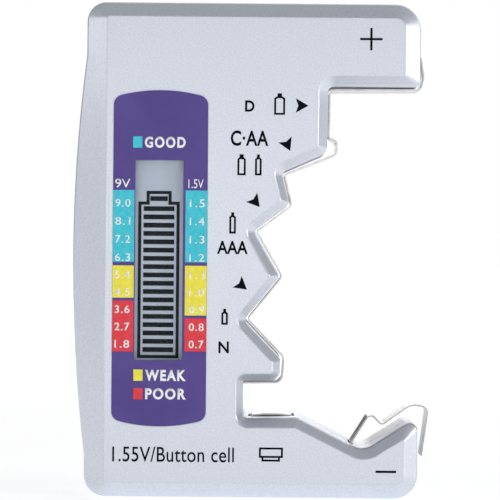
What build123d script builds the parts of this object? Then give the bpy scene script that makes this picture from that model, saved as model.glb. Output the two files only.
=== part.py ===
from build123d import *
import math
import os

# Palm-sized universal battery tester with a liquid-crystal charge bar.
# Millimetres. The tester stands upright: X to the right, Z up, the display faces -Y.
# The origin is the middle of the bounding box at the bottom edge.

os.makedirs("parts", exist_ok=True)

# ---- driving dimensions ----
HEIGHT = 95.0             # over both ends of the case
FRONT = -11.0             # front face
BACK = 11.0               # back face
WALL = 1.6                # side walls
FACE_WALL = 1.8           # front and back walls
FRONT_BEVEL = 2.2         # depth of the broad bevel round the front
FOOT_BEVEL = 0.8          # depth of the steep narrow bevel between it and the sides
FOOT_WIDTH = 0.25         # and its width
FACE_EDGE_R = 0.45        # rounding where the front face meets its bevel
BACK_BEVEL = 1.6          # depth and width of the small bevel round the back
SEAM = 0.1                # half of the shadow gap where the shells meet, at Y = 0
LEFT = -32.0              # straight ends of the left side
RIGHT = 32.06             # right side
BULGE = 2.4               # how far the left side bows out at its middle
FLAT = 0.02               # the same on the front face, whose left edge is almost straight
BULGE_LOW = 7.9           # where the bow starts and ends
BULGE_HIGH = 84.9

# ---- the case outline, clockwise from the top left ----
# Each corner is its X, its Z, its rounding, and the width of the front bevel
# along the side that follows it.
CORNERS = [
    (LEFT, HEIGHT, 3.8, 2.85),      # top
    (RIGHT, HEIGHT, 4.8, 3.05),     # right side of the positive block
    (RIGHT, 79.3, 1.0, 1.8),        # under the positive block
    (14.3, 79.3, 1.3, 1.8),         # wall of the D bay
    (14.2, 66.4, 1.7, 1.7),         # slope above the C and AA notch
    (5.55, 62.6, 1.1, 1.5),         # wall down from that notch
    (7.1, 56.5, 1.2, 1.5),          # slope above the AAA notch
    (0.25, 51.38, 1.0, 1.6),        # wall down from that notch
    (5.36, 42.53, 1.2, 1.6),        # slope above the N notch
    (-1.35, 34.18, 0.9, 1.6),       # slope down from that notch
    (5.55, 27.0, 1.8, 1.5),         # nose over the button-cell slot
    (5.55, 22.6, 1.9, 1.4),         # underside of the nose
    (-1.54, 22.6, 0.5, 1.3),        # end wall of the button-cell slot
    (-1.54, 15.3, 1.0, 1.6),        # floor of the button-cell slot
    (9.0, 15.5, 1.8, 1.7),          # slope down into the vee
    (21.6, 9.2, 3.5, 1.8),          # slope up to the arm
    (RIGHT, 15.8, 1.5, 2.75),       # right side of the arm
    (RIGHT, 0.0, 4.5, 3.0),         # bottom
    (LEFT, 0.0, 4.2, 4.0),          # left side
]
FRONT_WIDTHS = [corner[3] for corner in CORNERS]

# ---- display and label ----
WINDOW_X = -17.82
WINDOW_Z = 45.5
WINDOW_WIDE = 9.15
WINDOW_HIGH = 38.2
WINDOW_CORNER_R = 0.3
LABEL_LEFT = -26.72
LABEL_RIGHT = -8.54
LABEL_MIDDLE = (LABEL_LEFT + LABEL_RIGHT) / 2
LABEL_TOP = 78.06         # the crowned top and bottom at their middle
LABEL_BOTTOM = 13.7
LABEL_CROWN = 1.35        # how far both ends bow out
LABEL_CORNER_R = 2.0
LABEL_THICK = 0.25
LABEL_GAP = 0.1           # between the label and the edge of its recess
GLASS_WIDE = 13.2
GLASS_HIGH = 42.2
LENS_FRONT = -10.1        # front of the clear window
LENS_THICK = 0.6
GLASS_THICK = 0.8         # each of the two plates of the display
REFLECTOR_THICK = 0.2
LEDGE = 1.7               # of the front plate past the rear plate, on each side
FIT = 0.15                # gap round pieces that drop into a pocket

# ---- circuit board ----
BOARD_FRONT = -3.6
BOARD_BACK = -2.4
BOARD_SCREWS = [(-26.3, 81.5), (6.5, 82.0), (-26.3, 12.5), (-8.0, 12.5)]
STANDOFF_R = 1.8

# ---- case screws ----
SCREW_PLACES = [(-27.0, 89.6), (27.0, 89.9), (-27.0, 5.2), (27.4, 5.2)]
BOSS_R = 2.4
SCREW_R = 0.9
SCREW_HEAD_R = 1.9
SCREW_HEAD_Y = 6.0        # floor of the counterbores
SCREW_HEAD_HIGH = 1.4
SCREW_LONG = 11.8         # under the head

# ---- sheet-metal contacts ----
SHEET = 0.3
STRIP_HALF_WIDE = 4.0     # positive strip, half its width across the case
LEAF_HALF_WIDE = 3.5      # negative spring
BUTTON_HALF_WIDE = 3.0    # button-cell contact
NINE_VOLT_PITCH = 12.7
NINE_VOLT_Z = 46.4
WIRE_R = 0.4


def at_y(y):
    """A sketch plane facing the front, at this Y. Sketch x is X and sketch y is Z."""
    return Plane.XZ.offset(-y)


def inset_corners(widths):
    """The corners of the case outline with each side moved in by its own width."""
    count = len(CORNERS)
    places = []
    for i in range(count):
        before = CORNERS[i - 1]
        here = CORNERS[i]
        after = CORNERS[(i + 1) % count]
        run_in = (Vector(here[0], here[1]) - Vector(before[0], before[1])).normalized()
        run_out = (Vector(after[0], after[1]) - Vector(here[0], here[1])).normalized()
        turn = run_in.X * run_out.Y - run_in.Y * run_out.X
        # each side moves along its own right-hand normal, which points into the case
        start = Vector(here[0] + run_in.Y * widths[i - 1], here[1] - run_in.X * widths[i - 1])
        goal = Vector(here[0] + run_out.Y * widths[i], here[1] - run_out.X * widths[i])
        gap = goal - start
        along = (gap.X * run_out.Y - gap.Y * run_out.X) / turn
        place = start + run_in * along
        width = (widths[i - 1] + widths[i]) / 2
        if turn < 0:
            radius = max(here[2] - width, 0.45)
        else:
            radius = here[2] + width
        places.append((place.X, place.Y, radius))
    return places


def case_section(y, widths, bulge):
    """The area inside the case outline at this Y, moved in by the given widths."""
    places = inset_corners(widths)
    side = places[-1][0]
    high = (side, BULGE_HIGH)
    low = (side, BULGE_LOW)
    points = [high] + [(x, z) for x, z, radius in places] + [low]
    with BuildSketch(at_y(y)) as section:
        with BuildLine():
            FilletPolyline(*points, radius=[radius for x, z, radius in places])
            ThreePointArc(low, (side - bulge, (BULGE_LOW + BULGE_HIGH) / 2), high)
        make_face()
    return section.sketch


def even(width):
    """The same inset on every side of the case."""
    return [width] * len(CORNERS)


def label_area(margin):
    """The label's outline with its crowned ends, moved in by this margin."""
    left = LABEL_LEFT + margin
    right = LABEL_RIGHT - margin
    top = LABEL_TOP - margin
    bottom = LABEL_BOTTOM + margin
    with BuildSketch(at_y(FRONT + LABEL_THICK)) as area:
        with BuildLine():
            ThreePointArc((left, top - LABEL_CROWN), (LABEL_MIDDLE, top), (right, top - LABEL_CROWN))
            Line((right, top - LABEL_CROWN), (right, bottom + LABEL_CROWN))
            ThreePointArc(
                (right, bottom + LABEL_CROWN), (LABEL_MIDDLE, bottom), (left, bottom + LABEL_CROWN)
            )
            Line((left, bottom + LABEL_CROWN), (left, top - LABEL_CROWN))
        make_face()
        fillet(area.vertices(), radius=LABEL_CORNER_R - margin)
    return area.sketch


def sheet_section(y, points, radii):
    """A bent strip of sheet metal, seen from its edge, at this Y."""
    with BuildSketch(at_y(y)) as section:
        with BuildLine():
            FilletPolyline(*points, radius=radii)
        trace(line_width=SHEET)
    return section.sketch


# ---- paths of the contacts ----
# positive strip, from its end in the block down to its end behind the button-cell slot
STRIP_PATH = [
    (26.0, 85.3), (32.4, 85.3), (32.95, 81.3), (32.4, 78.9), (14.8, 78.72), (14.75, 69.6),
    (16.25, 68.7), (16.2, 66.35), (6.15, 62.33), (7.58, 56.3), (0.85, 51.25), (5.9, 42.5),
    (-0.75, 34.2), (6.35, 26.8), (5.95, 21.95), (-4.0, 21.8),
]
STRIP_BENDS = [0.6, 2.4, 1.0, 0.8, 0.5, 0.9, 0.9, 0.5, 0.8, 0.5, 1.0, 0.5, 1.8, 1.5]

# negative spring: it flexes where it leaves the case, at the left slope of the vee
SPRING_ROOT = (18.69, 9.02)
SPRING_RISE = 57.8        # degrees from level, at the root
ROOT_GAP = 0.1            # from the hinge line to each of the two pieces there
RISE_X = math.cos(math.radians(SPRING_RISE))
RISE_Z = math.sin(math.radians(SPRING_RISE))
SPRING_PATH = [
    (SPRING_ROOT[0] + ROOT_GAP * RISE_X, SPRING_ROOT[1] + ROOT_GAP * RISE_Z),
    (23.15, 16.1), (25.45, 13.85), (31.2, 17.95), (34.41, 17.3), (33.15, 7.94),
]
SPRING_BENDS = [0.9, 0.7, 3.0, 1.3]
ANCHOR_PATH = [
    (SPRING_ROOT[0] - ROOT_GAP * RISE_X, SPRING_ROOT[1] - ROOT_GAP * RISE_Z),
    (17.61, 7.3), (8.2, 7.3),
]

# button-cell contact: a low arch that stands out of a window in the floor of the slot
BUTTON_ROOT = (-0.1, 14.0)
BUTTON_PATH = [(0.0, 14.1), (0.1, 15.45), (2.4, 15.75), (5.6, 15.75), (7.9, 15.45), (8.0, 14.6)]
BUTTON_BENDS = [0.35, 4.0, 4.0, 0.35]
BUTTON_ANCHOR_PATH = [(-0.14, 13.88), (-0.5, 12.7), (7.6, 12.7)]

with BuildPart() as contact_cuts:
    # everything that the sheet contacts need cut out of the walls of both shells
    with BuildSketch(at_y(STRIP_HALF_WIDE + 0.3)):
        with Locations((31.3, 85.3)):
            Rectangle(3.6, 1.0)
        with Locations((-2.6, 21.8)):
            Rectangle(3.0, 1.0)
    extrude(amount=2 * (STRIP_HALF_WIDE + 0.3))
    with BuildSketch(at_y(LEAF_HALF_WIDE + 0.3)):
        with Locations((19.4, 10.15)):
            Rectangle(4.4, 1.1, rotation=SPRING_RISE)
        with Locations((18.0, 7.95)):
            Rectangle(2.3, 2.4, rotation=SPRING_RISE)
    extrude(amount=2 * (LEAF_HALF_WIDE + 0.3))
    with BuildSketch(at_y(BUTTON_HALF_WIDE + 0.4)):
        with Locations((4.0, 14.6)):
            Rectangle(8.9, 3.0)
    extrude(amount=2 * (BUTTON_HALF_WIDE + 0.4))
    for step in (-0.5, 0.5):
        with Locations((-33.0, 0, NINE_VOLT_Z + step * NINE_VOLT_PITCH)):
            Cylinder(radius=2.95, height=6, rotation=(0, 90, 0))

# ---- front shell ----
RIM = FRONT + FRONT_BEVEL + FOOT_BEVEL        # where the sides begin

with BuildPart() as front_shell:
    face = case_section(FRONT, FRONT_WIDTHS, FLAT)
    foot = case_section(FRONT + FRONT_BEVEL, even(FOOT_WIDTH), BULGE)
    rim = case_section(RIM, even(0), BULGE)
    loft([face, foot], ruled=True)
    loft([foot, rim], ruled=True)
    extrude(case_section(-SEAM, even(0), BULGE), amount=-RIM - SEAM)
    fillet(front_shell.edges().filter_by_position(Axis.Y, FRONT, FRONT), radius=FACE_EDGE_R)
    # the hollow, narrower behind the face than behind the bevel
    extrude(case_section(-SEAM, even(WALL), BULGE), amount=-RIM - SEAM, mode=Mode.SUBTRACT)
    behind_face = case_section(-SEAM, [width + 0.4 for width in FRONT_WIDTHS], FLAT)
    extrude(behind_face, amount=-FRONT - FACE_WALL - SEAM, mode=Mode.SUBTRACT)
    # bosses that the case screws bite into, and posts for the board
    with BuildSketch(at_y(-SEAM)):
        with Locations(*SCREW_PLACES):
            Circle(BOSS_R)
    extrude(amount=-FRONT - SEAM - 1.0)
    with BuildSketch(at_y(BOARD_FRONT)):
        with Locations(*BOARD_SCREWS):
            Circle(STANDOFF_R)
    extrude(amount=BOARD_FRONT - FRONT - 1.0)
    with BuildSketch(at_y(-SEAM)):
        with Locations(*SCREW_PLACES):
            Circle(SCREW_R + 0.05)
    extrude(amount=7.5, mode=Mode.SUBTRACT)
    with BuildSketch(at_y(BOARD_FRONT)):
        with Locations(*BOARD_SCREWS):
            Circle(0.7)
    extrude(amount=4.0, mode=Mode.SUBTRACT)
    # ribs that grip the inner ends of the three contacts
    with BuildSketch(at_y(-1.0)):
        for x, z in ((28.2, 85.3), (11.6, 7.3), (6.6, 12.7)):
            with Locations((x, z + 1.05), (x, z - 1.05)):
                Rectangle(1.2, 1.6)
    extrude(amount=-FRONT - 1.0 - FACE_WALL + 0.3)
    # label recess, display window, and the pocket behind the window
    extrude(label_area(0), amount=1.0, mode=Mode.SUBTRACT)
    with BuildSketch(at_y(FRONT + 3)):
        with Locations((WINDOW_X, WINDOW_Z)):
            RectangleRounded(WINDOW_WIDE, WINDOW_HIGH, WINDOW_CORNER_R)
    extrude(amount=4, mode=Mode.SUBTRACT)
    with BuildSketch(at_y(FRONT + 3)):
        with Locations((WINDOW_X, WINDOW_Z)):
            Rectangle(GLASS_WIDE + 2 * FIT, GLASS_HIGH + 2 * FIT)
    extrude(amount=3 + FRONT - LENS_FRONT, mode=Mode.SUBTRACT)
    add(contact_cuts.part, mode=Mode.SUBTRACT)
front_shell.part.label = "front_shell"
export_step(front_shell.part, "parts/front_shell.step")

# ---- back shell ----
LIP_GAP = 0.12            # between the lip and the inside of the front shell
LIP_THICK = 0.8
LIP_REACH = 1.2
# where the lip stops for a contact or a wire: lowest and highest X, lowest and highest Z
LIP_GAPS = [
    (-32.75, -28.0, 35.4, 57.4),
    (24.0, 30.4, 83.0, 88.0),
    (-1.4, 9.0, 10.0, 13.65),
    (-7.0, -3.2, 20.0, 27.5),
]
STICKER = (-15.6, 49.0, 20.0, 56.0)           # middle X, middle Z, width and height
STICKER_THICK = 0.2

with BuildPart() as back_shell:
    edge = case_section(BACK - BACK_BEVEL, even(0), BULGE)
    back_face = case_section(BACK, even(BACK_BEVEL), BULGE)
    loft([edge, back_face], ruled=True)
    extrude(case_section(BACK - BACK_BEVEL, even(0), BULGE), amount=BACK - BACK_BEVEL - SEAM)
    hollow = case_section(BACK - FACE_WALL, even(WALL), BULGE)
    extrude(hollow, amount=BACK - FACE_WALL - SEAM, mode=Mode.SUBTRACT)
    # locating lip that drops inside the front shell
    lip = case_section(SEAM + 1.6, even(WALL + LIP_GAP), BULGE)
    lip_inside = case_section(SEAM + 1.6, even(WALL + LIP_GAP + LIP_THICK), BULGE)
    lip_seat = case_section(SEAM + 1.6, even(WALL - 0.2), BULGE)
    extrude(lip_seat - lip_inside, amount=1.6)
    extrude(lip - lip_inside, amount=LIP_REACH + SEAM + 1.6)
    # bosses round the screws, their holes and their counterbores
    with BuildSketch(at_y(SEAM)):
        with Locations(*SCREW_PLACES):
            Circle(BOSS_R)
    extrude(amount=-(BACK - SEAM - 0.6))
    with BuildSketch(at_y(BACK + 1)):
        with Locations(*SCREW_PLACES):
            Circle(SCREW_R + 0.25)
    extrude(amount=14, mode=Mode.SUBTRACT)
    with BuildSketch(at_y(BACK + 1)):
        with Locations(*SCREW_PLACES):
            Circle(SCREW_HEAD_R + 0.2)
    extrude(amount=BACK + 1 - SCREW_HEAD_Y, mode=Mode.SUBTRACT)
    with BuildSketch(at_y(BACK + 1)):
        with Locations(STICKER[:2]):
            RectangleRounded(STICKER[2], STICKER[3], 1.5)
    extrude(amount=1 + STICKER_THICK, mode=Mode.SUBTRACT)
    # room for the contacts, and for the ends of the front shell's bosses
    add(contact_cuts.part, mode=Mode.SUBTRACT)
    for low_x, high_x, low_z, high_z in LIP_GAPS:
        with Locations(((low_x + high_x) / 2, 1.1, (low_z + high_z) / 2)):
            Box(high_x - low_x, 6.4, high_z - low_z, mode=Mode.SUBTRACT)
    for x, z in SCREW_PLACES:
        with Locations((x, -1.2, z)):
            Cylinder(radius=BOSS_R + 0.3, height=2.6, rotation=(90, 0, 0), mode=Mode.SUBTRACT)
back_shell.part.label = "back_shell"
export_step(back_shell.part, "parts/back_shell.step")

with BuildPart() as back_sticker:
    with BuildSketch(at_y(BACK)):
        with Locations(STICKER[:2]):
            RectangleRounded(STICKER[2] - 0.2, STICKER[3] - 0.2, 1.4)
    extrude(amount=STICKER_THICK)
back_sticker.part.label = "back_sticker"
export_step(back_sticker.part, "parts/back_sticker.step")

# ---- printed label on the face ----
with BuildPart() as face_label:
    extrude(label_area(LABEL_GAP), amount=LABEL_THICK)
    with BuildSketch(at_y(FRONT + LABEL_THICK)):
        with Locations((WINDOW_X, WINDOW_Z)):
            RectangleRounded(WINDOW_WIDE, WINDOW_HIGH, WINDOW_CORNER_R)
    extrude(amount=LABEL_THICK, mode=Mode.SUBTRACT)
face_label.part.label = "face_label"
export_step(face_label.part, "parts/face_label.step")

# ---- display stack, from the window back to the reflector ----
GLASS_FRONT = LENS_FRONT + LENS_THICK
REAR_GLASS_FRONT = GLASS_FRONT + GLASS_THICK
REFLECTOR_FRONT = REAR_GLASS_FRONT + GLASS_THICK


def plate(front, thickness, wide, high):
    """A flat rectangular plate behind the display window."""
    with BuildPart() as piece:
        with BuildSketch(at_y(front + thickness)):
            with Locations((WINDOW_X, WINDOW_Z)):
                Rectangle(wide, high)
        extrude(amount=thickness)
    return piece.part


REAR_WIDE = GLASS_WIDE - 2 * LEDGE
for name, front, thickness, wide in [
    ("display_window", LENS_FRONT, LENS_THICK, GLASS_WIDE),
    ("display_front_glass", GLASS_FRONT, GLASS_THICK, GLASS_WIDE),
    ("display_rear_glass", REAR_GLASS_FRONT, GLASS_THICK, REAR_WIDE),
    ("display_reflector", REFLECTOR_FRONT, REFLECTOR_THICK, REAR_WIDE - 0.4),
]:
    layer = plate(front, thickness, wide, GLASS_HIGH)
    layer.label = name
    export_step(layer, f"parts/{name}.step")

# the two elastomer strips that join the front plate's ledges to the board
with BuildPart() as elastomer_connectors:
    with BuildSketch(at_y(BOARD_FRONT)):
        with GridLocations(GLASS_WIDE - LEDGE, 0, 2, 1):
            with Locations((WINDOW_X, WINDOW_Z)):
                Rectangle(LEDGE - 0.3, GLASS_HIGH - 1.0)
    extrude(amount=BOARD_FRONT - REAR_GLASS_FRONT)
elastomer_connectors.part.label = "elastomer_connectors"
export_step(elastomer_connectors.part, "parts/elastomer_connectors.step")

with BuildPart() as display_holder:
    with BuildSketch(at_y(BOARD_FRONT)):
        with Locations((WINDOW_X, WINDOW_Z)):
            Rectangle(GLASS_WIDE + 3.4, GLASS_HIGH + 3.4)
            Rectangle(GLASS_WIDE + 2 * FIT, GLASS_HIGH + 2 * FIT, mode=Mode.SUBTRACT)
    extrude(amount=BOARD_FRONT - FRONT - FACE_WALL)
    # bars across the back of the reflector, between the elastomer strips
    with BuildSketch(at_y(BOARD_FRONT)):
        with Locations((WINDOW_X, WINDOW_Z)):
            Rectangle(REAR_WIDE - 1.2, GLASS_HIGH + 1.0)
            with GridLocations(0, GLASS_HIGH / 3, 1, 3):
                Rectangle(REAR_WIDE - 4.0, GLASS_HIGH / 3 - 3.0, mode=Mode.SUBTRACT)
    extrude(amount=BOARD_FRONT - REFLECTOR_FRONT - REFLECTOR_THICK)
display_holder.part.label = "display_holder"
export_step(display_holder.part, "parts/display_holder.step")

# ---- circuit board ----
# places of the parts on the board, X and Z
BLOB = (-17.8, 48.0)
INDUCTOR = (-15.0, 73.5)
INDUCTOR_HIGH = 6.5
FLANGE_THICK = 1.2
FLANGE_R = 3.5
CAPACITOR = (-3.0, 76.0)
TRIMMER = (3.8, 75.0)
RESISTOR_X = -22.0        # the first of three
RESISTOR_Z = 26.0
RESISTOR_PITCH = 3.4
LEAD_R = 0.3
PADS = {
    "positive_wire": (-7.0, 25.0),
    "negative_wire": (-11.0, 11.0),
    "button_cell_wire": (-7.0, 16.2),
    "nine_volt_positive_wire": (-26.6, 58.6),
    "nine_volt_negative_wire": (-26.6, 34.2),
}

with BuildPart() as circuit_board:
    with BuildSketch(at_y(BOARD_BACK)):
        with BuildLine():
            FilletPolyline(
                (-29.3, 9.2), (-4.5, 9.2), (-4.5, 65.5), (10.0, 70.5), (10.0, 85.6), (-29.3, 85.6),
                radius=1.0,
                close=True,
            )
        make_face()
        with Locations(*BOARD_SCREWS):
            Circle(0.9, mode=Mode.SUBTRACT)
        with Locations(*PADS.values()):
            Circle(0.35, mode=Mode.SUBTRACT)
    extrude(amount=BOARD_BACK - BOARD_FRONT)
circuit_board.part.label = "circuit_board"
export_step(circuit_board.part, "parts/circuit_board.step")

# ---- parts soldered to the back of the board ----
with BuildPart() as controller_blob:
    with BuildSketch(at_y(BOARD_BACK + 1.5)):
        with Locations(BLOB):
            Circle(5.0)
    extrude(amount=1.5)
    fillet(controller_blob.edges().group_by(Axis.Y)[-1], radius=1.2)
controller_blob.part.label = "controller_blob"
export_step(controller_blob.part, "parts/controller_blob.step")

with BuildPart() as boost_inductor:
    # a bobbin on end, with a flange at each end of the winding
    with BuildSketch(at_y(BOARD_BACK + INDUCTOR_HIGH)):
        with Locations(INDUCTOR):
            Circle(3.0)
    extrude(amount=INDUCTOR_HIGH)
    for flange_back in (FLANGE_THICK, INDUCTOR_HIGH):
        with BuildSketch(at_y(BOARD_BACK + flange_back)):
            with Locations(INDUCTOR):
                Circle(FLANGE_R)
        extrude(amount=FLANGE_THICK)
boost_inductor.part.label = "boost_inductor"
export_step(boost_inductor.part, "parts/boost_inductor.step")

with BuildPart() as electrolytic_capacitor:
    with BuildSketch(at_y(BOARD_BACK + 7.5)):
        with Locations(CAPACITOR):
            Circle(2.5)
    extrude(amount=7.5)
    fillet(electrolytic_capacitor.edges().group_by(Axis.Y)[-1], radius=0.4)
electrolytic_capacitor.part.label = "electrolytic_capacitor"
export_step(electrolytic_capacitor.part, "parts/electrolytic_capacitor.step")

with BuildPart() as load_resistors:
    # three through-hole resistors lying side by side, each with bent leads
    for step in range(3):
        x = RESISTOR_X + RESISTOR_PITCH * step
        with Locations((x, BOARD_BACK + 1.5, RESISTOR_Z)):
            Cylinder(radius=1.15, height=6.0)
        for end in (-1, 1):
            with Locations((x, BOARD_BACK + 1.5, RESISTOR_Z + end * 3.9)):
                Cylinder(radius=LEAD_R, height=2.4)
            with Locations((x, BOARD_BACK + 0.9, RESISTOR_Z + end * 5.0)):
                Cylinder(radius=LEAD_R, height=1.8, rotation=(90, 0, 0))
load_resistors.part.label = "load_resistors"
export_step(load_resistors.part, "parts/load_resistors.step")

with BuildPart() as chip_components:
    with BuildSketch(at_y(BOARD_BACK + 0.6)):
        with Locations((-23.5, 66.0)):
            with GridLocations(2.6, 2.4, 2, 4):
                Rectangle(1.6, 0.8)
        with Locations((-9.0, 34.0)):
            with GridLocations(0, 2.2, 1, 5):
                Rectangle(1.6, 0.8)
        with Locations((-24.4, 47.0)):
            with GridLocations(0, 2.2, 1, 4):
                Rectangle(1.6, 0.8)
    extrude(amount=0.6)
chip_components.part.label = "chip_components"
export_step(chip_components.part, "parts/chip_components.step")

with BuildPart() as calibration_trimmer:
    with Locations((TRIMMER[0], BOARD_BACK + 1.0, TRIMMER[1])):
        Box(4.4, 2.0, 4.4)
    with Locations((TRIMMER[0], BOARD_BACK + 2.3, TRIMMER[1])):
        Cylinder(radius=1.5, height=0.6, rotation=(90, 0, 0))
    with Locations((TRIMMER[0], BOARD_BACK + 2.6, TRIMMER[1])):
        Box(2.2, 0.5, 0.4, mode=Mode.SUBTRACT)
calibration_trimmer.part.label = "calibration_trimmer"
export_step(calibration_trimmer.part, "parts/calibration_trimmer.step")

with BuildPart() as solder_joints:
    for x, z in PADS.values():
        with BuildSketch(Plane(origin=(x, BOARD_BACK, z), x_dir=(1, 0, 0), z_dir=(0, 0, 1))):
            with BuildLine():
                Polyline((0.45, 0), (1.1, 0), (0.95, 0.3), (0.55, 0.8), (0.45, 0.8), (0.45, 0))
            make_face()
        revolve(axis=Axis((x, BOARD_BACK, z), (0, 1, 0)))
solder_joints.part.label = "solder_joints"
export_step(solder_joints.part, "parts/solder_joints.step")

# ---- sheet-metal contacts ----
for name, path, bends, half_wide in [
    ("positive_contact_strip", STRIP_PATH, STRIP_BENDS, STRIP_HALF_WIDE),
    ("negative_spring_leaf", SPRING_PATH, SPRING_BENDS, LEAF_HALF_WIDE),
    ("negative_spring_anchor", ANCHOR_PATH, [0.8], LEAF_HALF_WIDE),
    ("button_contact_leaf", BUTTON_PATH, BUTTON_BENDS, BUTTON_HALF_WIDE),
    ("button_contact_anchor", BUTTON_ANCHOR_PATH, [0.4], BUTTON_HALF_WIDE),
]:
    with BuildPart() as contact:
        extrude(sheet_section(half_wide, path, bends), amount=2 * half_wide)
    contact.part.label = name
    export_step(contact.part, f"parts/{name}.step")

# the two 9 V contacts: a pad in the wall, a flange behind it and a tail for the wire
for name, step in (("nine_volt_negative_contact", -0.5), ("nine_volt_positive_contact", 0.5)):
    with BuildPart() as pad:
        centre = (0, 0, NINE_VOLT_Z + step * NINE_VOLT_PITCH)
        with BuildSketch(Plane(origin=centre, x_dir=(1, 0, 0), z_dir=(0, -1, 0))):
            with BuildLine():
                Polyline(
                    (-34.0, 0), (-34.0, 2.2), (-33.7, 2.75), (-32.55, 2.75), (-32.55, 3.6),
                    (-31.9, 3.6), (-31.9, 0.7), (-29.4, 0.7), (-29.4, 0), (-34.0, 0),
                )
            make_face()
        revolve(axis=Axis(centre, (1, 0, 0)))
    pad.part.label = name
    export_step(pad.part, f"parts/{name}.step")

# ---- hook-up wires, each from its pad on the board to its contact ----
WIRE_ROUTES = {
    "positive_wire": [
        (-7.0, BOARD_BACK, 25.0), (-7.0, 1.4, 25.0), (-3.75, 1.4, 25.0), (-3.75, 1.4, 22.0),
    ],
    "negative_wire": [
        (-11.0, BOARD_BACK, 11.0), (-11.0, 2.8, 11.0), (9.3, 2.8, 10.4), (9.3, 2.8, 7.5),
    ],
    "button_cell_wire": [
        (-7.0, BOARD_BACK, 16.2), (-7.0, 0.6, 16.2), (-4.3, 0.6, 11.0), (2.0, 0.6, 11.0),
        (2.0, 0.6, 12.52),
    ],
    "nine_volt_positive_wire": [
        (-29.35, 0, 52.75), (-26.6, 0, 52.75), (-26.6, 0, 58.6), (-26.6, BOARD_BACK, 58.6),
    ],
    "nine_volt_negative_wire": [
        (-29.35, 0, 40.05), (-26.6, 0, 40.05), (-26.6, 0, 34.2), (-26.6, BOARD_BACK, 34.2),
    ],
}
for name, route in WIRE_ROUTES.items():
    with BuildPart() as wire:
        with BuildLine() as run:
            FilletPolyline(*route, radius=0.9)
        with BuildSketch(Plane(origin=run.line @ 0, z_dir=run.line % 0)):
            Circle(WIRE_R)
        sweep()
    wire.part.label = name
    export_step(wire.part, f"parts/{name}.step")

# ---- fasteners ----
with BuildPart() as case_screws:
    for x, z in SCREW_PLACES:
        with Locations((x, SCREW_HEAD_Y + SCREW_HEAD_HIGH / 2, z)):
            Cylinder(radius=SCREW_HEAD_R, height=SCREW_HEAD_HIGH, rotation=(90, 0, 0))
        with Locations((x, SCREW_HEAD_Y + 0.1 - SCREW_LONG / 2, z)):
            Cylinder(radius=SCREW_R, height=SCREW_LONG, rotation=(90, 0, 0))
        # the cross recess
        for turn in (0, 90):
            with Locations((x, SCREW_HEAD_Y + SCREW_HEAD_HIGH - 0.2, z)):
                Box(2.3, 0.9, 0.55, rotation=(0, turn, 0), mode=Mode.SUBTRACT)
case_screws.part.label = "case_screws"
export_step(case_screws.part, "parts/case_screws.step")

with BuildPart() as board_screws:
    for x, z in BOARD_SCREWS:
        with Locations((x, BOARD_BACK + 0.45, z)):
            Cylinder(radius=1.5, height=0.9, rotation=(90, 0, 0))
        with Locations((x, BOARD_BACK - 2.2, z)):
            Cylinder(radius=0.65, height=4.5, rotation=(90, 0, 0))
        for turn in (0, 90):
            with Locations((x, BOARD_BACK + 0.75, z)):
                Box(1.8, 0.6, 0.4, rotation=(0, turn, 0), mode=Mode.SUBTRACT)
board_screws.part.label = "board_screws"
export_step(board_screws.part, "parts/board_screws.step")
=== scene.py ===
import bpy
import math
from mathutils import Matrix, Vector


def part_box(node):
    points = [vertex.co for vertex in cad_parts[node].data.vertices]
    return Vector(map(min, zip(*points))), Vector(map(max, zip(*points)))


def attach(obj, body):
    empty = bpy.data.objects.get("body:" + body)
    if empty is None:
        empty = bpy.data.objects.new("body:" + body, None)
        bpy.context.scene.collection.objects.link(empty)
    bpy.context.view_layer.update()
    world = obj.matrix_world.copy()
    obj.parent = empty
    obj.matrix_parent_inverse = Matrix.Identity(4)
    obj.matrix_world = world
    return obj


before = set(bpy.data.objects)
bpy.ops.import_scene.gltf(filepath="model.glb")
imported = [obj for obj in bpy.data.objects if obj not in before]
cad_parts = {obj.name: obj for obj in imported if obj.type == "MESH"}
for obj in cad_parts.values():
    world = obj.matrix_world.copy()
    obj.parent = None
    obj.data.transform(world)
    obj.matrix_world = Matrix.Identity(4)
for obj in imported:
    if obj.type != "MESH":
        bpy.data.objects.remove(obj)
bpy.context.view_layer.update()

# ---------------------------------------------------------------------------
# Case shells. Two ABS mouldings that meet half way through the thickness and are held by
# four screws from the back. They are sprayed with a satin silver paint, whose fine flake
# gives the flat faces their grain and whose lacquer softens every reflection.
# ---------------------------------------------------------------------------

mm = 0.001


def new_finish(name):
    """A fresh material: itself, its node tree, its shader, and the place on the piece."""
    finish = bpy.data.materials.new(name)
    finish.use_nodes = True
    tree = finish.node_tree
    shader = tree.nodes["Principled BSDF"]
    place = tree.nodes.new("ShaderNodeTexCoord").outputs["Object"]
    return finish, tree, shader, place


def mottle(tree, place, scale, detail=2.0, stretch=(1, 1, 1)):
    """An uneven pattern fixed to the piece; scale is in waves per metre."""
    turn = tree.nodes.new("ShaderNodeMapping")
    turn.inputs["Scale"].default_value = stretch
    tree.links.new(place, turn.inputs["Vector"])
    noise = tree.nodes.new("ShaderNodeTexNoise")
    noise.inputs["Scale"].default_value = scale
    noise.inputs["Detail"].default_value = detail
    tree.links.new(turn.outputs["Vector"], noise.inputs["Vector"])
    return noise.outputs["Fac"]


def colour_between(tree, shader, pattern, dark, light):
    """The colour runs from dark to light with the pattern."""
    ramp = tree.nodes.new("ShaderNodeValToRGB")
    ramp.color_ramp.elements[0].position = 0.32
    ramp.color_ramp.elements[0].color = (*dark, 1)
    ramp.color_ramp.elements[1].position = 0.68
    ramp.color_ramp.elements[1].color = (*light, 1)
    tree.links.new(pattern, ramp.inputs["Fac"])
    tree.links.new(ramp.outputs["Color"], shader.inputs["Base Color"])


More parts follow.
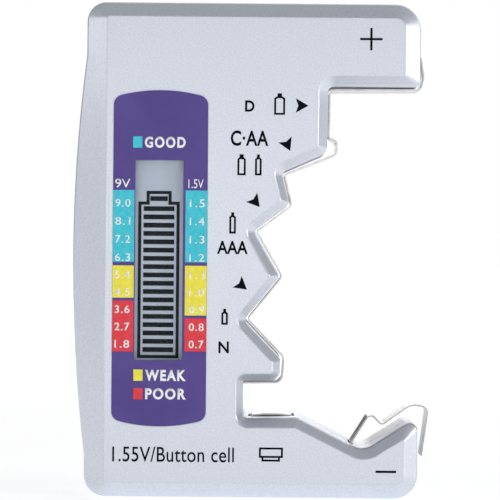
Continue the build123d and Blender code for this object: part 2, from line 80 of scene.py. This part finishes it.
def roughness_between(tree, shader, pattern, low, high):
    """The roughness runs from low to high with the pattern."""
    spread = tree.nodes.new("ShaderNodeMapRange")
    spread.inputs["From Min"].default_value = 0.3
    spread.inputs["From Max"].default_value = 0.7
    spread.inputs["To Min"].default_value = low
    spread.inputs["To Max"].default_value = high
    tree.links.new(pattern, spread.inputs["Value"])
    tree.links.new(spread.outputs["Result"], shader.inputs["Roughness"])


def relief(tree, shader, pattern, strength, depth):
    """A fine relief from the pattern; depth is in metres."""
    bump = tree.nodes.new("ShaderNodeBump")
    bump.inputs["Strength"].default_value = strength
    bump.inputs["Distance"].default_value = depth
    tree.links.new(pattern, bump.inputs["Height"])
    tree.links.new(bump.outputs["Normal"], shader.inputs["Normal"])


def dress(finish, *names):
    """Gives these CAD nodes this finish in place of the plain one they came with."""
    for name in names:
        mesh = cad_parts[name].data
        mesh.materials.clear()
        mesh.materials.append(finish)


silver_paint, tree, shader, place = new_finish("silver_paint")
colour_between(
    tree, shader, mottle(tree, place, 3000, detail=3.0),
    (0.590, 0.625, 0.700), (0.680, 0.712, 0.785),
)
roughness_between(tree, shader, mottle(tree, place, 5200), 0.33, 0.45)
relief(tree, shader, mottle(tree, place, 3800, detail=4.0), 0.20, 0.00004)
shader.inputs["Metallic"].default_value = 0.5
shader.inputs["Coat Weight"].default_value = 0.22
shader.inputs["Coat Roughness"].default_value = 0.20
dress(silver_paint, "front_shell", "back_shell")

# ---------------------------------------------------------------------------
# Face label. A purple polyester film, die-cut with crowned ends, that lies in a shallow
# recess of the face and has a window for the display. It is printed, then glued in.
# ---------------------------------------------------------------------------

purple_film, tree, shader, place = new_finish("purple_film")
colour_between(tree, shader, mottle(tree, place, 150), (0.086, 0.058, 0.262), (0.104, 0.071, 0.292))
roughness_between(tree, shader, mottle(tree, place, 900), 0.42, 0.52)
relief(tree, shader, mottle(tree, place, 2400), 0.10, 0.00002)
shader.inputs["Specular IOR Level"].default_value = 0.25
dress(purple_film, "face_label")
label_low, label_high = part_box("face_label")
label_y = label_low.y

# ---------------------------------------------------------------------------
# Colour bands of the label. Screen-printed at each side of the display: 9 V cells on the
# left and 1.5 V cells on the right, cyan for good, yellow for weak and red for poor, and
# a small square of each colour in the key.
# ---------------------------------------------------------------------------

INK = 0.03 * mm                 # how far a layer of screen ink stands proud
SCALE_TOP = label_high.z - 19.11 * mm
LEFT_BAND = (label_low.x, label_low.x + 4.05 * mm)
RIGHT_BAND = (label_high.x - 4.15 * mm, label_high.x)


def deselect():
    """Nothing selected, in object mode."""
    if bpy.context.object and bpy.context.object.mode != "OBJECT":
        bpy.ops.object.mode_set(mode="OBJECT")
    bpy.ops.object.select_all(action="DESELECT")


def panel(x_low, x_high, z_low, z_high, y):
    """A flat rectangle that faces the front."""
    deselect()
    middle = ((x_low + x_high) / 2, y, (z_low + z_high) / 2)
    bpy.ops.mesh.primitive_plane_add(size=1, location=middle, rotation=(math.radians(90), 0, 0))
    bpy.ops.transform.resize(value=(x_high - x_low, 1, z_high - z_low), center_override=middle)
    bpy.ops.object.transform_apply(location=True, rotation=True, scale=True)
    return bpy.context.object


def lay_ink(piece):
    """The flat shape becomes a closed layer of ink that stands out to the front."""
    bpy.ops.object.mode_set(mode="EDIT")
    bpy.ops.mesh.select_all(action="SELECT")
    bpy.ops.mesh.remove_doubles(threshold=0.000002)
    bpy.ops.mesh.extrude_region_move(TRANSFORM_OT_translate={"value": (0, -INK, 0)})
    bpy.ops.mesh.select_all(action="SELECT")
    bpy.ops.mesh.normals_make_consistent(inside=False)
    bpy.ops.object.mode_set(mode="OBJECT")
    return piece


def printed(name, prints, finish):
    """The prints of one ink become one piece on the case."""
    deselect()
    for piece in prints:
        piece.select_set(True)
    bpy.context.view_layer.objects.active = prints[0]
    bpy.ops.object.join()
    piece = bpy.context.object
    piece.name = name
    piece.data.name = name
    piece.data.materials.clear()
    piece.data.materials.append(finish)
    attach(piece, "case")


def screen_ink(name, dark, light, rough, gloss=0.2):
    """A screen ink, with the faint mottle that the mesh leaves."""
    finish, tree, shader, place = new_finish(name)
    colour_between(tree, shader, mottle(tree, place, 1400, detail=3.0), dark, light)
    roughness_between(tree, shader, mottle(tree, place, 2600), rough - 0.05, rough + 0.06)
    relief(tree, shader, mottle(tree, place, 3200), 0.12, 0.00002)
    shader.inputs["Specular IOR Level"].default_value = gloss
    return finish


KEY_HIGH = 2.15 * mm            # the squares of the key, and its words
KEY_WIDE = 1.75 * mm
GOOD_ROW = 53.15                # feet of the key's three rows above the label's, in mm
WEAK_ROW = 8.65
POOR_ROW = 5.12
# for each ink: how far its band on the left and its band on the right begin below the top of
# the scale and how high they are, and the left edge and the foot of its square in the key
for name, dark, light, left_rows, right_rows, key_x, key_z in [
    ("cyan", (0.050, 0.540, 0.660), (0.075, 0.630, 0.740),
     (0.0, 13.7), (0.0, 13.7), 3.72, GOOD_ROW),
    ("yellow", (0.850, 0.765, 0.070), (0.935, 0.855, 0.090),
     (14.4, 6.15), (14.35, 9.5), 4.15, WEAK_ROW),
    ("red", (0.740, 0.048, 0.062), (0.840, 0.062, 0.078),
     (21.1, 9.7), (24.4, 6.3), 4.17, POOR_ROW),
]:
    prints = []
    for (x_low, x_high), (down, high) in ((LEFT_BAND, left_rows), (RIGHT_BAND, right_rows)):
        top = SCALE_TOP - down * mm
        prints.append(lay_ink(panel(x_low, x_high, top - high * mm, top, label_y)))
    x_low = label_low.x + key_x * mm
    z_low = label_low.z + key_z * mm
    prints.append(lay_ink(panel(x_low, x_low + KEY_WIDE, z_low, z_low + KEY_HIGH, label_y)))
    printed(name + "_bands", prints, screen_ink(name + "_ink", dark, light, 0.42))

# ---------------------------------------------------------------------------
# White legends of the label. The key's three words in heavy capitals, the heads of the two
# columns, and beside each step of the bar graph its voltage, printed over the bands.
# ---------------------------------------------------------------------------


def letters(words, x_low, x_high, z_low, z_high, y, weight=0.0, spacing=1.0):
    """Printed characters that fill a rectangle of the plane y; weight fattens them."""
    deselect()
    bpy.ops.object.text_add(rotation=(math.radians(90), 0, 0))
    text = bpy.context.object
    text.data.body = words
    text.data.offset = weight
    text.data.space_character = spacing
    text.data.resolution_u = 5
    bpy.ops.object.convert(target="MESH")
    bpy.ops.object.transform_apply(location=True, rotation=True, scale=True)
    corners = [Vector(corner) for corner in bpy.context.object.bound_box]
    low = Vector((min(c.x for c in corners), 0, min(c.z for c in corners)))
    high = Vector((max(c.x for c in corners), 0, max(c.z for c in corners)))
    wide = (x_high - x_low) / (high.x - low.x)
    tall = (z_high - z_low) / (high.z - low.z)
    bpy.ops.transform.resize(value=(wide, 1, tall), center_override=low)
    bpy.ops.transform.translate(value=(x_low - low.x, y, z_low - low.z))
    bpy.ops.object.transform_apply(location=True, rotation=True, scale=True)
    return lay_ink(bpy.context.object)


white_ink = screen_ink("white_ink", (0.92, 0.93, 0.95), (0.97, 0.97, 0.98), 0.42)
prints = []
WORD_WIDE = 7.78 * mm
HEAVY = 0.038                   # how much bolder the key's words are than the plain face
LOOSE = 1.22                    # and how much wider apart their characters stand
for word, across, up in (
    ("GOOD", 5.95, GOOD_ROW),
    ("WEAK", 6.38, WEAK_ROW),
    ("POOR", 6.41, POOR_ROW),
):
    x_low = label_low.x + across * mm
    z_low = label_low.z + up * mm
    prints.append(letters(
        word, x_low, x_low + WORD_WIDE, z_low, z_low + KEY_HIGH, label_y, HEAVY, LOOSE
    ))
NUMBER_WIDE = 2.85 * mm
NUMBER_HIGH = 1.5 * mm
NUMBER_PITCH = 3.46 * mm
NUMBER_SPACING = 1.15
LIGHT = 0.004                   # how much bolder the upper numbers are than the plain face
DARK = 0.014                    # and the lower ones
LIGHT_ROWS = 6
EVEN_ROWS = 3                   # past this row each stands a little closer to the last
CLOSER = 0.15 * mm
FIRST_NUMBER = SCALE_TOP - 3.18 * mm
left_numbers = ("9.0", "8.1", "7.2", "6.3", "5.4", "4.5", "3.6", "2.7", "1.8")
right_numbers = ("1.5", "1.4", "1.3", "1.2", "1.1", "1.0", "0.9", "0.8", "0.7")
for numbers, x_low in (
    (left_numbers, LEFT_BAND[0] + 0.45 * mm),
    (right_numbers, RIGHT_BAND[0] + 0.80 * mm),
):
    for row, number in enumerate(numbers):
        z_low = FIRST_NUMBER - row * NUMBER_PITCH
        z_low += max(row - EVEN_ROWS, 0) * CLOSER
        weight = LIGHT if row < LIGHT_ROWS else DARK
        prints.append(letters(
            number, x_low, x_low + NUMBER_WIDE, z_low, z_low + NUMBER_HIGH,
            label_y - INK, weight, NUMBER_SPACING,
        ))
HEAD_WIDE = 2.9 * mm
HEAD_HIGH = 1.7 * mm
z_low = SCALE_TOP + 0.45 * mm
for head, x_low in (("9V", LEFT_BAND[0] + 0.35 * mm), ("1.5V", RIGHT_BAND[0] + 0.5 * mm)):
    prints.append(letters(head, x_low, x_low + HEAD_WIDE, z_low, z_low + HEAD_HIGH, label_y, LIGHT))
printed("white_legends", prints, white_ink)

# ---------------------------------------------------------------------------
# Display. A liquid-crystal cell behind a clear acrylic window: two glass plates with a grey
# reflecting ground. Its dark segments, between the plates, are the outline of a battery
# and eighteen bars.
# ---------------------------------------------------------------------------

clear_acrylic, tree, shader, place = new_finish("clear_acrylic")
colour_between(tree, shader, mottle(tree, place, 300), (0.50, 0.52, 0.54), (0.56, 0.58, 0.60))
roughness_between(tree, shader, mottle(tree, place, 700), 0.05, 0.12)
shader.inputs["Alpha"].default_value = 0.015
shader.inputs["IOR"].default_value = 1.49
shader.inputs["Specular IOR Level"].default_value = 0.2
dress(clear_acrylic, "display_window")

front_plate, tree, shader, place = new_finish("display_front_plate")
colour_between(tree, shader, mottle(tree, place, 240), (0.52, 0.59, 0.66), (0.58, 0.65, 0.72))
roughness_between(tree, shader, mottle(tree, place, 1500), 0.20, 0.28)
shader.inputs["Alpha"].default_value = 0.015
dress(front_plate, "display_front_glass")

grey_ground, tree, shader, place = new_finish("display_ground")
colour_between(tree, shader, mottle(tree, place, 60), (0.530, 0.605, 0.715), (0.572, 0.650, 0.760))
roughness_between(tree, shader, mottle(tree, place, 3000), 0.45, 0.60)
relief(tree, shader, mottle(tree, place, 4000), 0.10, 0.00002)
dress(grey_ground, "display_rear_glass", "display_reflector")

dark_segment, tree, shader, place = new_finish("display_segment")
colour_between(tree, shader, mottle(tree, place, 500), (0.004, 0.006, 0.009), (0.008, 0.010, 0.014))
roughness_between(tree, shader, mottle(tree, place, 2000), 0.45, 0.60)
relief(tree, shader, mottle(tree, place, 4000), 0.05, 0.00001)
shader.inputs["Specular IOR Level"].default_value = 0.0

window_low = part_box("display_window")[0]
rear_low, rear_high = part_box("display_rear_glass")
window_x = (rear_low.x + rear_high.x) / 2 - 0.12 * mm
segment_y = rear_low.y
BAR_COUNT = 18
BAR_PITCH = 1.591 * mm
BAR_HIGH = 0.92 * mm
BAR_HALF = 2.95 * mm
OUTLINE = 0.60 * mm             # width of the battery's outline
BODY_HALF = 3.97 * mm
NUB_HALF = 2.40 * mm
NUB_HIGH = 2.05 * mm             # how far the nub stands above the body
NUB_BAR_HALF = 1.68 * mm
body_low = window_low.z + 2.30 * mm
body_high = body_low + 30.03 * mm
lowest_bar = body_low + 1.63 * mm
nub_bar = body_high + 0.58 * mm


def near(value, goal):
    """Whether a vertex lies on this level, to within a hundredth of a millimetre."""
    return abs(value - goal) < 0.01 * mm


def pick(piece, wanted):
    """In edit mode, selects the vertices whose place fits, and what lies between them."""
    bpy.ops.object.mode_set(mode="EDIT")
    bpy.ops.mesh.select_mode(type="VERT")
    bpy.ops.mesh.select_all(action="DESELECT")
    bpy.ops.object.mode_set(mode="OBJECT")
    for corner in piece.data.vertices:
        corner.select = wanted(corner.co)
    bpy.ops.object.mode_set(mode="EDIT")


def outline_only(piece, stroke):
    """The flat shape keeps only a line of this width along its edge."""
    bpy.ops.object.mode_set(mode="EDIT")
    bpy.ops.mesh.select_all(action="SELECT")
    bpy.ops.mesh.inset(thickness=stroke, use_even_offset=True)
    bpy.ops.mesh.delete(type="FACE")
    bpy.ops.object.mode_set(mode="OBJECT")
    return piece


# the outline: a column as wide as the nub, with its sides drawn out for the body and its
# top drawn up for the nub
battery = panel(window_x - NUB_HALF, window_x + NUB_HALF, body_low, body_high, segment_y)
for side in (-1, 1):
    pick(battery, lambda co: near(co.x, window_x + side * NUB_HALF))
    out = side * (BODY_HALF - NUB_HALF)
    bpy.ops.mesh.extrude_region_move(TRANSFORM_OT_translate={"value": (out, 0, 0)})
pick(battery, lambda co: near(co.z, body_high) and abs(co.x - window_x) < NUB_HALF + 0.01 * mm)
bpy.ops.mesh.extrude_region_move(TRANSFORM_OT_translate={"value": (0, 0, NUB_HIGH)})
battery = lay_ink(outline_only(battery, OUTLINE))
prints = [battery]
# one bar, copied upwards
prints.append(lay_ink(panel(
    window_x - BAR_HALF, window_x + BAR_HALF,
    lowest_bar - BAR_HIGH / 2, lowest_bar + BAR_HIGH / 2, segment_y,
)))
for row in range(1, BAR_COUNT):
    bpy.ops.object.duplicate_move(TRANSFORM_OT_translate={"value": (0, 0, BAR_PITCH)})
    bpy.ops.object.transform_apply(location=True, rotation=True, scale=True)
    prints.append(bpy.context.object)
prints.append(lay_ink(panel(
    window_x - NUB_BAR_HALF, window_x + NUB_BAR_HALF,
    nub_bar - BAR_HIGH / 2, nub_bar + BAR_HIGH / 2, segment_y,
)))
printed("display_segments", prints, dark_segment)

# ---------------------------------------------------------------------------
# Marks on the silver face. Black screen print: plus and minus signs, the cell sizes, a small
# cell symbol and an arrowhead for each seat, and the legend of the button-cell slot.
# ---------------------------------------------------------------------------

black_ink = screen_ink("black_ink", (0.002, 0.003, 0.006), (0.005, 0.006, 0.011), 0.55, gloss=0.04)
face_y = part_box("front_shell")[0].y
SYMBOL_LINE = 0.38 * mm
SHOULDER = 0.35                 # of a cell symbol, in mm
NUB = 0.55                      # how far its nub stands out, in mm
ARROW_R = 1.62 * mm
NOTCH = 0.5 * mm                # how deep an arrowhead's tail is notched
marks = []


def mark(x_low, x_high, z_low, z_high):
    """A black rectangle on the face, its edges in millimetres from the foot's middle."""
    return lay_ink(panel(x_low * mm, x_high * mm, z_low * mm, z_high * mm, face_y))


def mark_letters(words, x_low, x_high, z_low, z_high, weight, spacing=1.0):
    """Black characters on the face, in the same measure."""
    return letters(words, x_low * mm, x_high * mm, z_low * mm, z_high * mm, face_y, weight, spacing)


def mark_cell(x_low, x_high, z_low, z_high, nub):
    """A round cell from the side: its outline with sloping shoulders, and a solid nub."""
    body_top = (z_high - SHOULDER) * mm
    piece = panel(x_low * mm, x_high * mm, z_low * mm, body_top, face_y)
    pick(piece, lambda co: near(co.z, body_top))
    bpy.ops.mesh.extrude_region_move(TRANSFORM_OT_translate={"value": (0, 0, SHOULDER * mm)})
    bpy.ops.transform.resize(
        value=(nub / (x_high - x_low), 1, 1),
        center_override=((x_low + x_high) / 2 * mm, face_y, z_high * mm),
    )
    bpy.ops.object.mode_set(mode="OBJECT")
    lay_ink(outline_only(piece, SYMBOL_LINE))
    middle = (x_low + x_high) / 2
    return [piece, mark(middle - nub / 2, middle + nub / 2, z_high - 0.05, z_high + NUB)]


def mark_arrow(tip_x, tip_z, heading):
    """An arrowhead with a notched tail; heading is in degrees, up from level."""
    along = Vector((math.cos(math.radians(heading)), 0, math.sin(math.radians(heading))))
    middle = Vector((tip_x * mm, face_y, tip_z * mm)) - along * ARROW_R
    deselect()
    # a circle's first corner points up once it faces the front
    bpy.ops.mesh.primitive_circle_add(
        vertices=3, radius=ARROW_R, fill_type="NGON", location=middle,
        rotation=(math.radians(90), math.radians(90 - heading), 0),
    )
    bpy.ops.object.transform_apply(location=True, rotation=True, scale=True)
    piece = bpy.context.object
    # the tail edge is divided and its middle pushed forward
    pick(piece, lambda co: (co - middle).dot(along) < 0)
    bpy.ops.mesh.subdivide()
    pick(piece, lambda co: (co - middle).dot(along) < 0 and (co - middle).length < ARROW_R * 0.7)
    bpy.ops.transform.translate(value=along * NOTCH)
    return lay_ink(piece)


# the plus and minus signs
PLUS_X = 22.4
PLUS_Z = 88.05
ARM = 2.15
HALF_LINE = 0.22
marks.append(mark(PLUS_X - ARM, PLUS_X + ARM, PLUS_Z - HALF_LINE, PLUS_Z + HALF_LINE))
marks.append(mark(PLUS_X - HALF_LINE, PLUS_X + HALF_LINE, PLUS_Z + HALF_LINE, PLUS_Z + ARM))
marks.append(mark(PLUS_X - HALF_LINE, PLUS_X + HALF_LINE, PLUS_Z - ARM, PLUS_Z - HALF_LINE))
marks.append(mark(23.9, 27.85, 5.26, 5.70))
# D seat
marks.append(mark_letters("D", -1.6, 0.2, 73.98, 76.15, 0.030))
marks += mark_cell(3.95, 6.05, 73.45, 77.0, 0.85)
marks.append(mark_arrow(10.5, 75.25, 0))
# C and AA seat
marks.append(mark_letters("C·AA", -4.28, 2.92, 67.45, 70.4, 0.022, 1.05))
marks += mark_cell(-2.97, -1.37, 61.85, 65.3, 0.8)
marks += mark_cell(0.40, 1.66, 61.85, 65.3, 0.55)
marks.append(mark_arrow(7.1, 66.55, -65))
# AAA seat
marks.append(mark_arrow(1.37, 55.8, -50))
marks += mark_cell(-4.42, -3.15, 50.7, 54.2, 0.55)
marks.append(mark_letters("AAA", -6.72, -0.85, 46.8, 49.33, 0.022, 1.0))
# N seat
marks.append(mark_arrow(-0.92, 40.03, -38))
marks += mark_cell(-5.78, -4.53, 33.28, 35.8, 0.55)
marks.append(mark_letters("N", -6.28, -4.3, 27.85, 30.1, 0.022))
# button-cell slot
marks.append(mark_letters("1.55V/Button cell", -26.38, -3.15, 7.0, 9.9, 0.006, 1.04))
for x_low, x_high, z_low, z_high in ((1.62, 6.2, 7.95, 9.93), (2.1, 5.65, 7.25, 8.33)):
    piece = panel(x_low * mm, x_high * mm, z_low * mm, z_high * mm, face_y)
    marks.append(lay_ink(outline_only(piece, SYMBOL_LINE)))
printed("face_marks", marks, black_ink)

# ---------------------------------------------------------------------------
# Contacts. Spring-steel strip 0.3 mm thick, cut and bent on a press and nickel-plated, and
# the two 9 V studs turned from brass with the same plating. The rolling direction shows
# as fine lines along each strip.
# ---------------------------------------------------------------------------

nickel, tree, shader, place = new_finish("nickel_plating")
colour_between(
    tree, shader, mottle(tree, place, 500, detail=1.0, stretch=(1, 3, 1)),
    (0.335, 0.331, 0.327), (0.385, 0.381, 0.377),
)
roughness_between(tree, shader, mottle(tree, place, 2600, stretch=(0.3, 1, 0.3)), 0.20, 0.28)
relief(tree, shader, mottle(tree, place, 3200, detail=0.0, stretch=(0.1, 1, 0.1)), 0.05, 0.000006)
shader.inputs["Metallic"].default_value = 1.0
dress(
    nickel, "positive_contact_strip", "negative_spring_leaf", "negative_spring_anchor",
    "button_contact_leaf", "button_contact_anchor",
    "nine_volt_positive_contact", "nine_volt_negative_contact",
)

# ---------------------------------------------------------------------------
# Back sticker. A rectangle of matt white paper with rounded corners, pressed into its
# recess in the back. Nothing is printed on it.
# ---------------------------------------------------------------------------

paper, tree, shader, place = new_finish("sticker_paper")
colour_between(
    tree, shader, mottle(tree, place, 900, detail=5.0), (0.66, 0.67, 0.69), (0.72, 0.73, 0.75)
)
roughness_between(tree, shader, mottle(tree, place, 1800), 0.55, 0.70)
relief(tree, shader, mottle(tree, place, 2600, detail=4.0), 0.25, 0.00003)
dress(paper, "back_sticker")

# ---------------------------------------------------------------------------
# Screws. Zinc-plated self-tapping screws with a cross recess, four deep in the case's
# counterbores and four shorter ones in the board.
# ---------------------------------------------------------------------------

zinc, tree, shader, place = new_finish("zinc_plating")
colour_between(
    tree, shader, mottle(tree, place, 700, detail=4.0), (0.42, 0.43, 0.44), (0.56, 0.57, 0.58)
)
roughness_between(tree, shader, mottle(tree, place, 2200), 0.24, 0.40)
relief(tree, shader, mottle(tree, place, 3000), 0.15, 0.00002)
shader.inputs["Metallic"].default_value = 1.0
dress(zinc, "case_screws", "board_screws")

# ---------------------------------------------------------------------------
# Circuit board and what is soldered to it. A glass-fibre board under green lacquer, with
# coil, capacitor, resistors, chips, trimmer, solder and the epoxy over the controller, the
# display's holder and rubber connectors, and the insulated wires to the contacts.
# ---------------------------------------------------------------------------

for name, dark, light, rough, metal, scale in [
    ("circuit_board", (0.012, 0.115, 0.045), (0.020, 0.150, 0.060), 0.30, 0.0, 700),
    ("controller_blob", (0.008, 0.008, 0.009), (0.016, 0.016, 0.017), 0.22, 0.0, 300),
    ("boost_inductor", (0.030, 0.030, 0.033), (0.055, 0.055, 0.058), 0.50, 0.0, 1500),
    ("electrolytic_capacitor", (0.012, 0.022, 0.110), (0.020, 0.035, 0.150), 0.28, 0.0, 500),
    ("load_resistors", (0.48, 0.36, 0.22), (0.56, 0.43, 0.28), 0.35, 0.0, 900),
    ("chip_components", (0.08, 0.07, 0.06), (0.14, 0.12, 0.10), 0.40, 0.0, 1800),
    ("calibration_trimmer", (0.03, 0.08, 0.30), (0.04, 0.11, 0.36), 0.42, 0.0, 900),
    ("solder_joints", (0.55, 0.55, 0.56), (0.66, 0.66, 0.67), 0.25, 1.0, 1200),
    ("elastomer_connectors", (0.38, 0.16, 0.20), (0.46, 0.21, 0.25), 0.60, 0.0, 1600),
    ("display_holder", (0.66, 0.66, 0.64), (0.72, 0.72, 0.70), 0.48, 0.0, 800),
    ("positive_wire", (0.42, 0.015, 0.015), (0.50, 0.022, 0.020), 0.42, 0.0, 900),
    ("negative_wire", (0.012, 0.012, 0.013), (0.022, 0.022, 0.023), 0.42, 0.0, 900),
    ("button_cell_wire", (0.55, 0.40, 0.03), (0.62, 0.47, 0.04), 0.42, 0.0, 900),
    ("nine_volt_positive_wire", (0.42, 0.015, 0.015), (0.50, 0.022, 0.020), 0.42, 0.0, 900),
    ("nine_volt_negative_wire", (0.012, 0.012, 0.013), (0.022, 0.022, 0.023), 0.42, 0.0, 900),
]:
    finish, tree, shader, place = new_finish(name + "_finish")
    colour_between(tree, shader, mottle(tree, place, scale, detail=3.0), dark, light)
    roughness_between(tree, shader, mottle(tree, place, scale * 2), rough - 0.06, rough + 0.08)
    relief(tree, shader, mottle(tree, place, scale * 3), 0.15, 0.00002)
    shader.inputs["Metallic"].default_value = metal
    dress(finish, name)

# ---------------------------------------------------------------------------
# Studio. A pale floor that glows with painted light, dimmer round the tester as painted shade,
# under a tent that is brighter overhead than at its sides, a long low soft light in front, one at
# each side, the right one stronger, and one behind.
# ---------------------------------------------------------------------------

deselect()
bpy.ops.mesh.primitive_plane_add(size=12.0, location=(0, 0, 0))
floor = bpy.context.object
floor.name = "floor"
glowing_floor, tree, shader, place = new_finish("glowing_floor")
colour_between(tree, shader, mottle(tree, place, 4), (0.86, 0.86, 0.86), (0.90, 0.90, 0.90))
shader.inputs["Roughness"].default_value = 0.9
shader.inputs["Specular IOR Level"].default_value = 0.1
# a white glow in the floor itself: painted light that keeps it bright
shader.inputs["Emission Color"].default_value = (1, 1, 1, 1)
# the floor's glow is painted light; it is weaker round the tester, a painted shade where its shadow
# falls, than far off
spread = tree.nodes.new("ShaderNodeVectorMath")
spread.operation = "LENGTH"
tree.links.new(place, spread.inputs[0])
glow = tree.nodes.new("ShaderNodeMapRange")
glow.interpolation_type = "SMOOTHSTEP"
glow.inputs["From Min"].default_value = 0.10
glow.inputs["From Max"].default_value = 1.60
glow.inputs["To Min"].default_value = 0.58
glow.inputs["To Max"].default_value = 0.85
tree.links.new(spread.outputs["Value"], glow.inputs["Value"])
tree.links.new(glow.outputs["Result"], shader.inputs["Emission Strength"])
floor.data.materials.append(glowing_floor)

TENT_LOW = 0.12
TENT_HIGH = 0.36
tent = bpy.data.worlds.new("tent")
bpy.context.scene.world = tent
tent.use_nodes = True
tree = tent.node_tree
around = tree.nodes["Background"]
split = tree.nodes.new("ShaderNodeSeparateXYZ")
tree.links.new(tree.nodes.new("ShaderNodeTexCoord").outputs["Generated"], split.inputs["Vector"])
ramp = tree.nodes.new("ShaderNodeValToRGB")
ramp.color_ramp.elements[0].position = 0.15
ramp.color_ramp.elements[0].color = (TENT_LOW, TENT_LOW * 1.01, TENT_LOW * 1.03, 1)
ramp.color_ramp.elements[1].position = 0.80
ramp.color_ramp.elements[1].color = (TENT_HIGH, TENT_HIGH * 1.01, TENT_HIGH * 1.03, 1)
tree.links.new(split.outputs["Z"], ramp.inputs["Fac"])
tree.links.new(ramp.outputs["Color"], around.inputs["Color"])
backdrop = tree.nodes.new("ShaderNodeBackground")
backdrop.inputs["Color"].default_value = (1, 1, 1, 1)
seen = tree.nodes.new("ShaderNodeMixShader")
tree.links.new(tree.nodes.new("ShaderNodeLightPath").outputs["Is Camera Ray"], seen.inputs["Fac"])
tree.links.new(around.outputs["Background"], seen.inputs[1])
tree.links.new(backdrop.outputs["Background"], seen.inputs[2])
tree.links.new(seen.outputs["Shader"], tree.nodes["World Output"].inputs["Surface"])


AIM = Vector((0, 0, 0.045))      # about the middle of the tester


def soft_light(name, place, wide, high, power):
    """A rectangular soft light aimed at the tester, unseen by the camera."""
    deselect()
    bpy.ops.object.light_add(type="AREA", location=place)
    lamp = bpy.context.object
    lamp.name = name
    lamp.data.shape = "RECTANGLE"
    lamp.data.size = wide
    lamp.data.size_y = high
    lamp.data.energy = power
    lamp.rotation_euler = (AIM - Vector(place)).to_track_quat("-Z", "Y").to_euler()
    lamp.visible_camera = False


soft_light("front_light", (0.0, -1.3, 0.06), 1.2, 0.30, 2.9)
soft_light("right_light", (0.95, -0.40, 0.10), 0.42, 0.6, 5.6)
soft_light("left_light", (-0.95, -0.45, 0.08), 0.5, 0.6, 1.7)
soft_light("back_light", (0.3, 1.4, 0.5), 1.0, 0.8, 5.0)
bpy.context.scene.view_settings.view_transform = "Standard"

# ---------------------------------------------------------------------------
# Camera. A long lens in front of the middle of the face, level with it and half a metre off,
# turned by half a degree about its own axis.
# ---------------------------------------------------------------------------

deselect()
bpy.ops.object.camera_add(
    location=(-0.42 * mm, -450 * mm, 47.6 * mm),
    rotation=(math.radians(90), math.radians(-0.5), 0),
)
camera = bpy.context.object
camera.data.sensor_width = 36.0
camera.data.lens = 165.6
camera.data.clip_start = 0.01
bpy.context.scene.camera = camera
